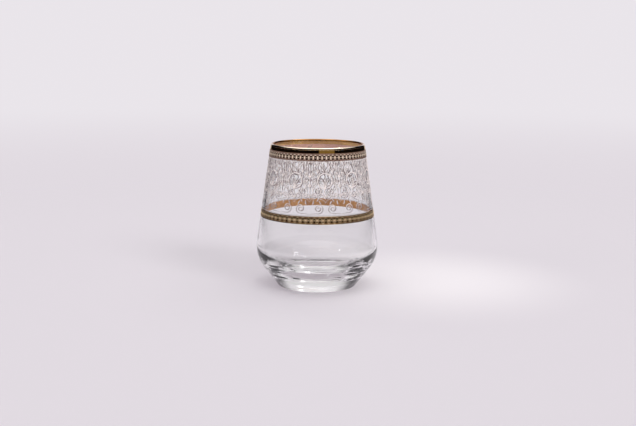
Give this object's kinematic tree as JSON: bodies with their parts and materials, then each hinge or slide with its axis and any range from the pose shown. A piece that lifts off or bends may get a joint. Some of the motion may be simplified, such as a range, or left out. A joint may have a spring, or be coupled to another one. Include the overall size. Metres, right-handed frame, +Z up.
{
  "type": "stemless tumbler",
  "caption": "Stemless clear-glass tumbler with a heavy base and a tapering wall, a gilt lip and rim band, and an enamel scroll frieze between gilt ornamental borders.",
  "frame": {"origin": "on the table, at the middle of the foot", "axes": "+Z up along the axis of the glass; the scroll columns start at +X and go round towards +Y"},
  "size_m": [0.086, 0.086, 0.1012],
  "materials": {
    "clear_glass": "clear, fire-polished, with faint waves in the thick base",
    "polished_gold": "burnished gold fired on the glass, mirror bright outside and amber seen through the glass",
    "etched_gold": "bright gold ground with raised matt gold ornament",
    "frost_enamel": "thin translucent frosted white enamel lines, satin"
  },
  "bodies": {
    "root": {"glass_body": "clear_glass", "lip_gilding": "polished_gold", "rim_band": "polished_gold", "upper_border": "etched_gold", "scroll_frieze": "frost_enamel", "lower_border": "etched_gold"}
  },
  "joints": []
}
